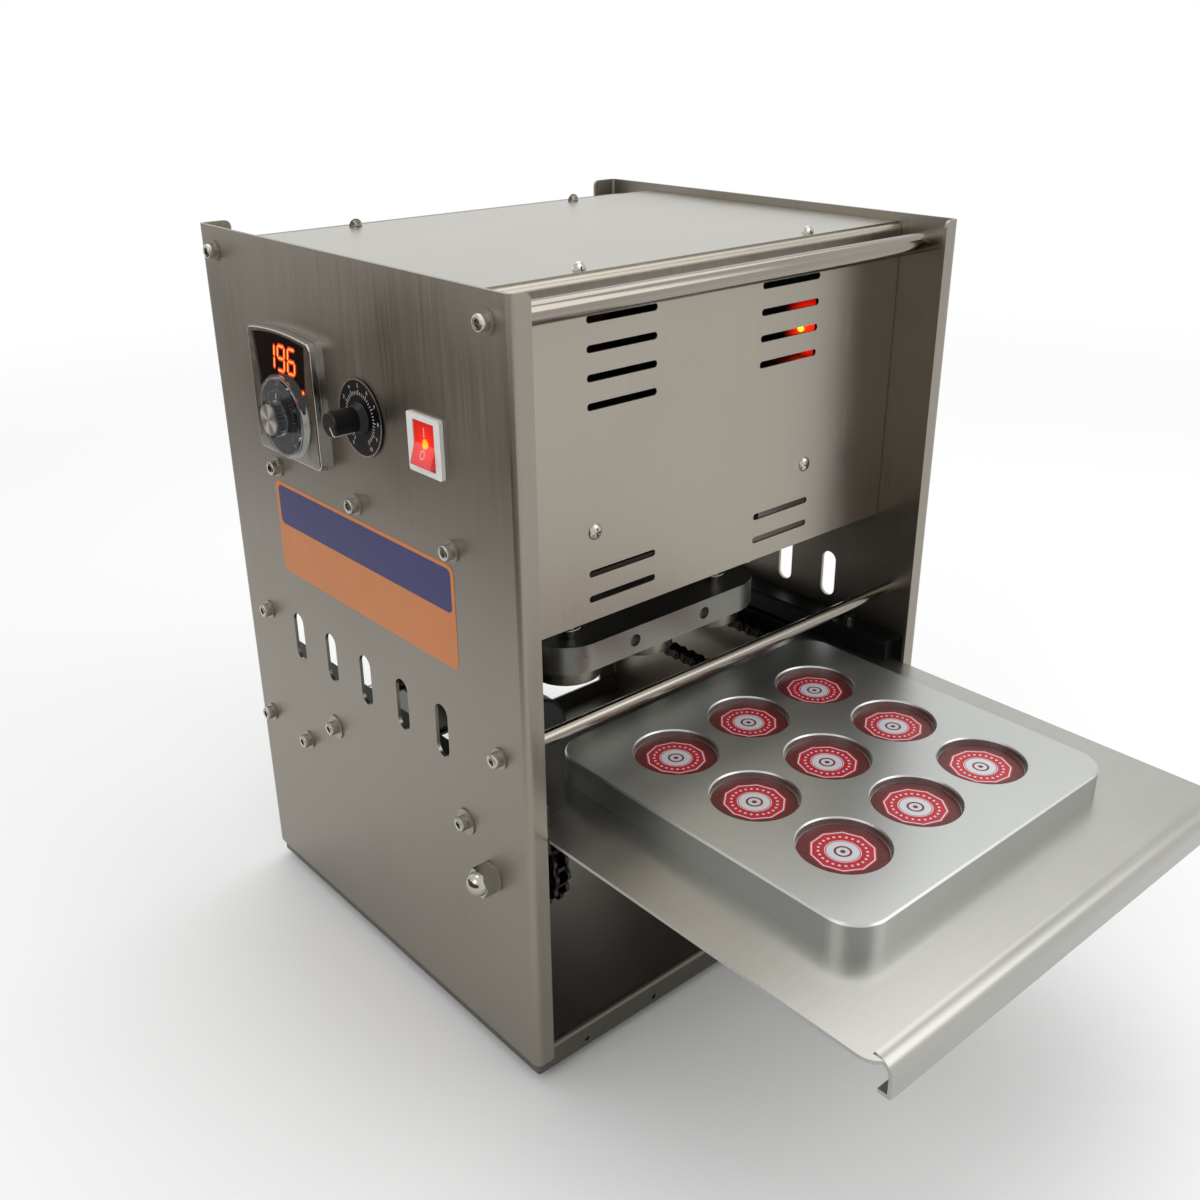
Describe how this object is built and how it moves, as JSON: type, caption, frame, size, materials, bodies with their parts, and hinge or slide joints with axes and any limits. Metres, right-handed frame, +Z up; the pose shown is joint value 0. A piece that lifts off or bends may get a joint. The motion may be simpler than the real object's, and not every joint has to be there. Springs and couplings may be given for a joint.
{
  "type": "foil sealer",
  "caption": "Bench foil sealer for filled cups: a chain-driven tray slides a mould plate under a heated, sprung press head inside an open stainless cabinet with controls on its left side.",
  "frame": {"origin": "on the bench, in the middle of the space that the machine takes up with its tray out", "axes": "+Z up, -Y towards the user and out of the open front, +X to the right"},
  "size_m": [0.3684, 0.526, 0.454],
  "materials": {
    "stainless": "fine brushed stainless sheet",
    "tray_steel": "satin stainless sheet with handling scratches",
    "bright_steel": "ground and polished bar",
    "zinc": "bright plated fasteners",
    "aluminium": "milled",
    "mould_aluminium": "fine blasted and clear anodised",
    "punch_steel": "turned, heat tinted",
    "spring_steel": "spring wire",
    "bronze": "turned bronze",
    "bearing_steel": "ground bearing rings",
    "chain_steel": "oiled roller chain",
    "sprocket_steel": "machined steel",
    "black_nylon": "machined black nylon",
    "rubber": "matte",
    "actuator_paint": "satin black",
    "cast_metal": "cast",
    "motor_paint": "satin black",
    "heater_sheath": "heat stained sheath",
    "cup_plastic": "moulded",
    "foil": "printed sealing foil",
    "bezel_plastic": "silvered moulding",
    "white_plastic": "moulded",
    "window_plastic": "smoked",
    "ring_chrome": "polished",
    "clear_plastic": "clear moulded",
    "cap_metal": "turned face",
    "dial_black": "black with silver rim",
    "black_plastic": "moulded",
    "red_plastic": "translucent",
    "supply_case": "folded case",
    "board_green": "circuit board"
  },
  "bodies": {
    "cabinet": {"left_side_plate": "stainless", "right_side_plate": "stainless", "front_panel": "stainless", "rear_panel": "stainless", "top_cover": "stainless", "base_pan": "stainless", "motor_pedestal": "stainless", "top_rods": "bright_steel", "middle_rods": "bright_steel", "front_axles": "bright_steel", "axle_collars": "bright_steel", "side_cap_screws": "zinc", "side_washers": "zinc", "panel_screws": "zinc", "rail_top_screws": "zinc", "acorn_nuts": "zinc", "bridge_plate": "aluminium", "bearing_blocks": "aluminium", "guide_bushes": "bronze", "shaft_bearings": "bearing_steel", "left_chain": "chain_steel", "right_chain": "chain_steel", "left_guide_rail": "black_nylon", "right_guide_rail": "black_nylon", "rubber_feet": "rubber", "linear_actuator": "actuator_paint", "gearbox": "cast_metal", "drive_motor": "motor_paint", "controller_housing": "bezel_plastic", "display_window": "window_plastic", "dial_ring": "ring_chrome", "timer_dial": "dial_black", "timer_body": "black_plastic", "switch_housing": "white_plastic", "power_supply": "supply_case", "control_board": "board_green", "power_inlet": "black_plastic"},
    "tray": {"tray": "tray_steel", "chain_brackets": "stainless", "mould_plate": "mould_aluminium", "mould_dowels": "bright_steel", "cups": "cup_plastic", "foil_lids": "foil"},
    "press": {"press_plate": "aluminium", "guide_columns": "bright_steel", "actuator_rod": "bright_steel"},
    "heater": {"heater_plate": "aluminium", "cartridge_heaters": "heater_sheath", "sealing_punches": "punch_steel", "shoulder_bolts": "bright_steel", "press_springs": "spring_steel"},
    "left_idler": {"left_front_sprocket": "sprocket_steel"},
    "right_idler": {"right_front_sprocket": "sprocket_steel"},
    "drive_shaft": {"rear_shaft": "bright_steel", "rear_sprockets": "sprocket_steel"},
    "temperature_dial": {"temperature_knob": "clear_plastic", "temperature_knob_cap": "cap_metal"},
    "timer_handle": {"timer_knob": "black_plastic"},
    "rocker": {"switch_rocker": "red_plastic"}
  },
  "joints": [
    {"name": "tray_slide", "type": "slide", "parent": "cabinet", "child": "tray", "axis": [0, 1, 0], "range_m": [0, 0.218]},
    {"name": "press_slide", "type": "slide", "parent": "cabinet", "child": "press", "axis": [0, 0, -1], "range_m": [0, 0.0185]},
    {"name": "heater_float", "type": "slide", "parent": "press", "child": "heater", "axis": [0, 0, 1], "range_m": [0, 0.003], "stiffness_N_per_m": 20000, "springref_m": -0.003, "deforming": ["press_springs"]},
    {"name": "left_idler_spin", "type": "hinge", "parent": "cabinet", "child": "left_idler", "pos_m": [-0.13625, -0.0075, 0.129], "axis": [1, 0, 0], "range_deg": [-520, 0]},
    {"name": "right_idler_spin", "type": "hinge", "parent": "cabinet", "child": "right_idler", "pos_m": [0.13975, -0.0075, 0.129], "axis": [1, 0, 0], "range_deg": [-520, 0]},
    {"name": "drive_shaft_spin", "type": "hinge", "parent": "cabinet", "child": "drive_shaft", "pos_m": [0.00175, 0.2211, 0.129], "axis": [1, 0, 0], "range_deg": [-520, 0]},
    {"name": "temperature_turn", "type": "hinge", "parent": "cabinet", "child": "temperature_dial", "pos_m": [-0.17425, 0.1625, 0.3578], "axis": [-1, 0, 0], "range_deg": [-150, 150]},
    {"name": "timer_turn", "type": "hinge", "parent": "cabinet", "child": "timer_handle", "pos_m": [-0.17425, 0.0909, 0.3707], "axis": [-1, 0, 0], "range_deg": [-30, 240]},
    {"name": "rocker_tilt", "type": "hinge", "parent": "cabinet", "child": "rocker", "pos_m": [-0.1625, 0.029, 0.37], "axis": [0, 1, 0], "range_deg": [-18, 0]}
  ],
  "couplings": [
    {"joint": "left_idler_spin", "follows": "tray_slide", "rad_per_m": -40.964},
    {"joint": "right_idler_spin", "follows": "tray_slide", "rad_per_m": -40.964},
    {"joint": "drive_shaft_spin", "follows": "tray_slide", "rad_per_m": -40.964}
  ]
}
